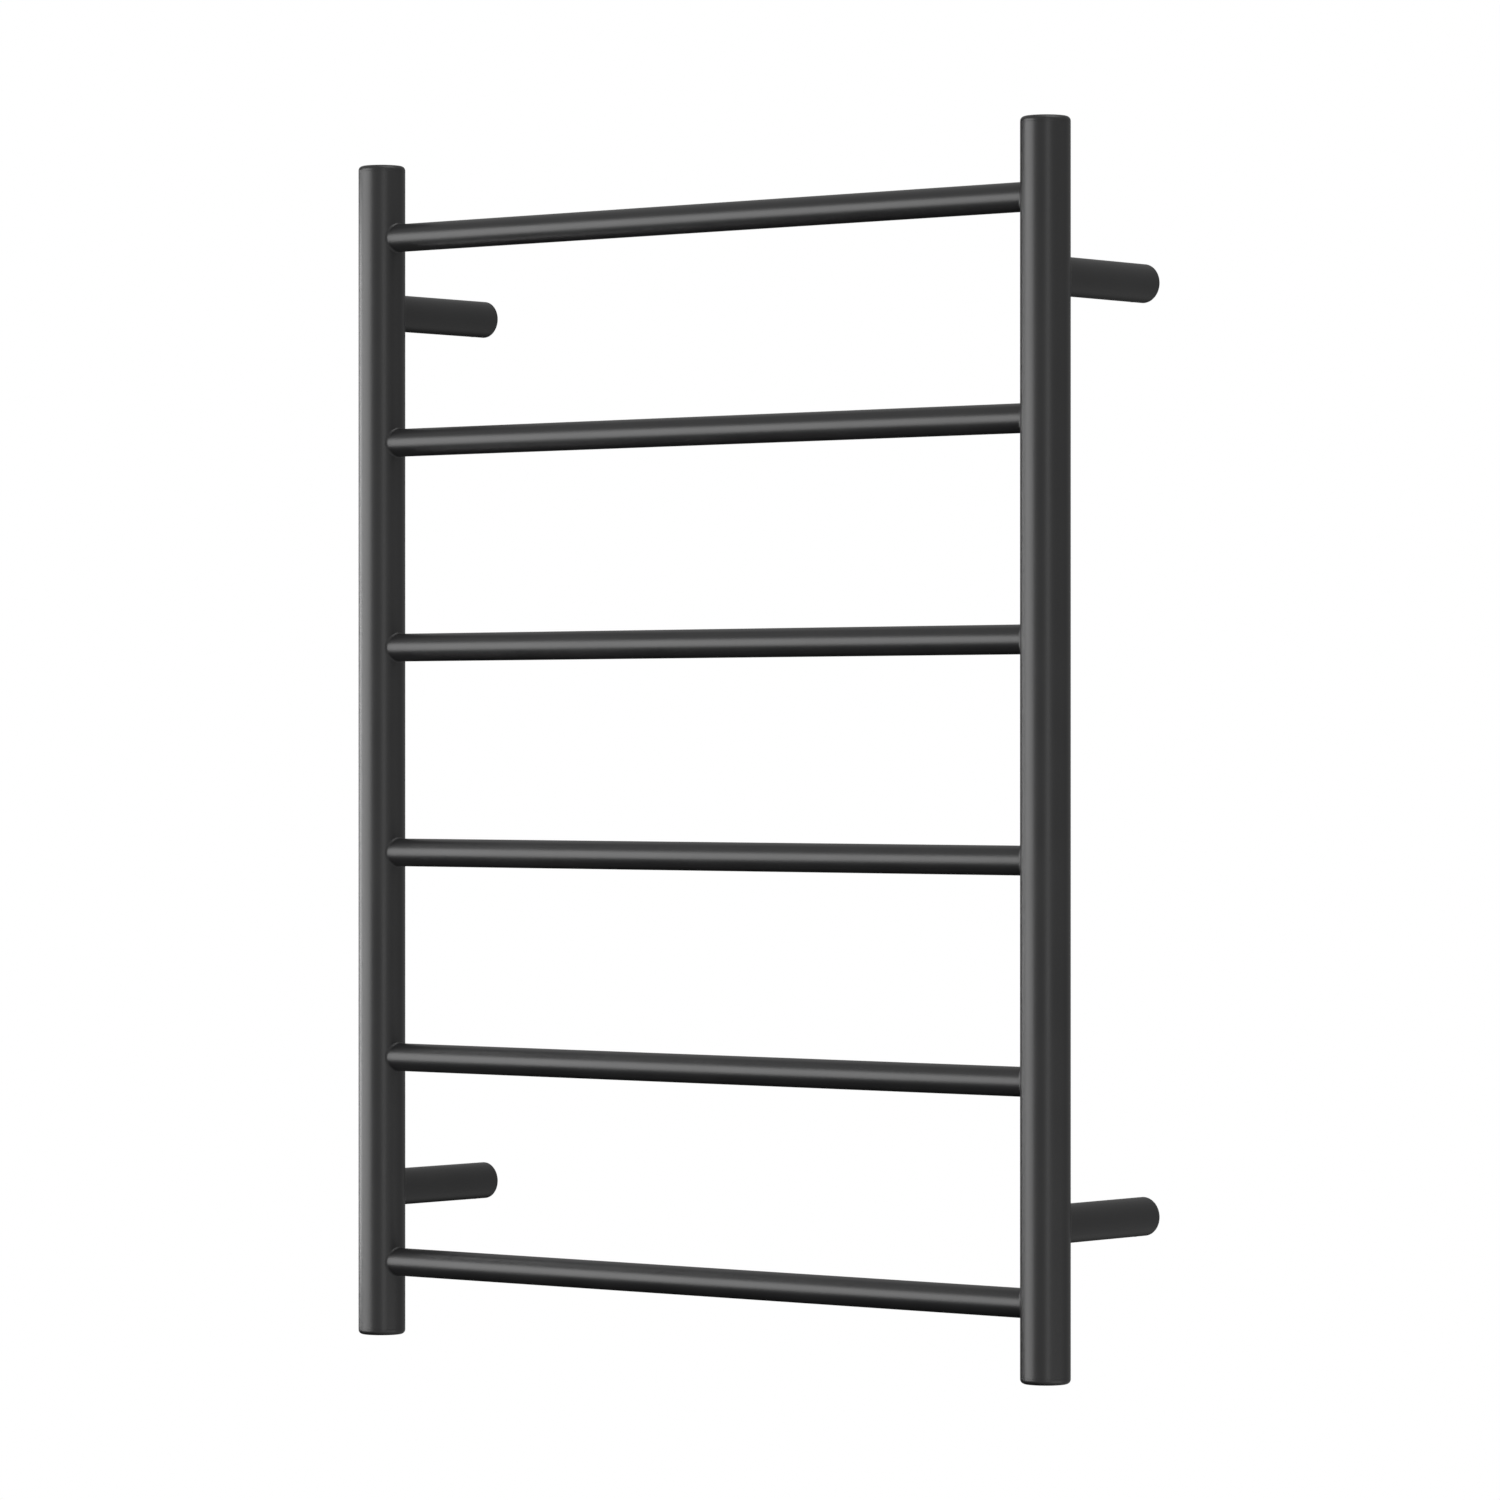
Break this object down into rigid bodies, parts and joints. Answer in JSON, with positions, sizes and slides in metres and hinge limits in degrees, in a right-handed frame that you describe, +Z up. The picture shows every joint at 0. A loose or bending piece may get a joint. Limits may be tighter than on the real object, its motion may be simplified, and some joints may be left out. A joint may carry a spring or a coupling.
{
  "type": "towel warmer rack",
  "caption": "Wall-hung heated towel ladder of round tube: level bars between two upright posts, held off the wall by round arms, with a heating cable inside.",
  "frame": {"origin": "centre of the four wall-screw holes, on the wall's surface", "axes": "+X to the right along the bars as seen from the room, +Y into the wall, +Z up along the posts"},
  "size_m": [0.6, 0.122, 0.8],
  "materials": {
    "black_coat": "satin black powder coat on welded steel tube",
    "boss_aluminium": "turned",
    "grub_screw_steel": "black oxide",
    "grommet_rubber": "matt",
    "cable_silicone": "smooth silicone",
    "joint_sleeve": "heat-shrink sleeve",
    "limiter_steel": "tin plate",
    "lead_brown": "smooth silicone",
    "lead_blue": "smooth silicone",
    "lead_green_yellow": "smooth silicone, green with a yellow stripe",
    "terminal_plastic": "moulded polyamide",
    "terminal_brass": "turned",
    "fastener_steel": "bright zinc plate",
    "tinned_tag": "tinned"
  },
  "bodies": {
    "wall_fixings": {"wall_boss_top_left": "boss_aluminium", "wall_boss_top_right": "boss_aluminium", "wall_boss_bottom_left": "boss_aluminium", "wall_boss_bottom_right": "boss_aluminium", "supply_grommet": "grommet_rubber"},
    "rack": {"arm_bottom_left": "black_coat", "arm_bottom_right": "black_coat", "arm_top_left": "black_coat", "arm_top_right": "black_coat", "arm_weld_bottom_left": "black_coat", "arm_weld_bottom_right": "black_coat", "arm_weld_top_left": "black_coat", "arm_weld_top_right": "black_coat", "bar_1": "black_coat", "bar_1_weld_left": "black_coat", "bar_1_weld_right": "black_coat", "bar_2": "black_coat", "bar_2_weld_left": "black_coat", "bar_2_weld_right": "black_coat", "bar_3": "black_coat", "bar_3_weld_left": "black_coat", "bar_3_weld_right": "black_coat", "bar_4": "black_coat", "bar_4_weld_left": "black_coat", "bar_4_weld_right": "black_coat", "bar_5": "black_coat", "bar_5_weld_left": "black_coat", "bar_5_weld_right": "black_coat", "bar_6": "black_coat", "bar_6_weld_left": "black_coat", "bar_6_weld_right": "black_coat", "earth_lead": "lead_green_yellow", "earth_nut": "fastener_steel", "earth_stud": "fastener_steel", "earth_tag": "tinned_tag", "earth_washer": "fastener_steel", "end_cap_bottom_left": "black_coat", "end_cap_bottom_right": "black_coat", "end_cap_top_left": "black_coat", "end_cap_top_right": "black_coat", "heating_cable": "cable_silicone", "live_cold_joint": "joint_sleeve", "live_lead": "lead_brown", "neutral_cold_joint": "joint_sleeve", "neutral_lead": "lead_blue", "post_left": "black_coat", "post_right": "black_coat", "terminal_block": "terminal_plastic", "terminal_clamps": "terminal_brass", "terminal_screws": "fastener_steel", "thermal_limiter": "limiter_steel"},
    "grub_screw_top_left": {"grub_screw_top_left": "grub_screw_steel"},
    "grub_screw_top_right": {"grub_screw_top_right": "grub_screw_steel"},
    "grub_screw_bottom_left": {"grub_screw_bottom_left": "grub_screw_steel"},
    "grub_screw_bottom_right": {"grub_screw_bottom_right": "grub_screw_steel"}
  },
  "joints": [
    {"name": "rack_slide", "type": "slide", "parent": "wall_fixings", "child": "rack", "axis": [0, -1, 0], "range_m": [0, 0.026]},
    {"name": "grub_screw_travel_top_left", "type": "slide", "parent": "rack", "child": "grub_screw_top_left", "axis": [0, 0, -1], "range_m": [0, 0.0025]},
    {"name": "grub_screw_travel_top_right", "type": "slide", "parent": "rack", "child": "grub_screw_top_right", "axis": [0, 0, -1], "range_m": [0, 0.0025]},
    {"name": "grub_screw_travel_bottom_left", "type": "slide", "parent": "rack", "child": "grub_screw_bottom_left", "axis": [0, 0, -1], "range_m": [0, 0.0025]},
    {"name": "grub_screw_travel_bottom_right", "type": "slide", "parent": "rack", "child": "grub_screw_bottom_right", "axis": [0, 0, -1], "range_m": [0, 0.0025]}
  ]
}
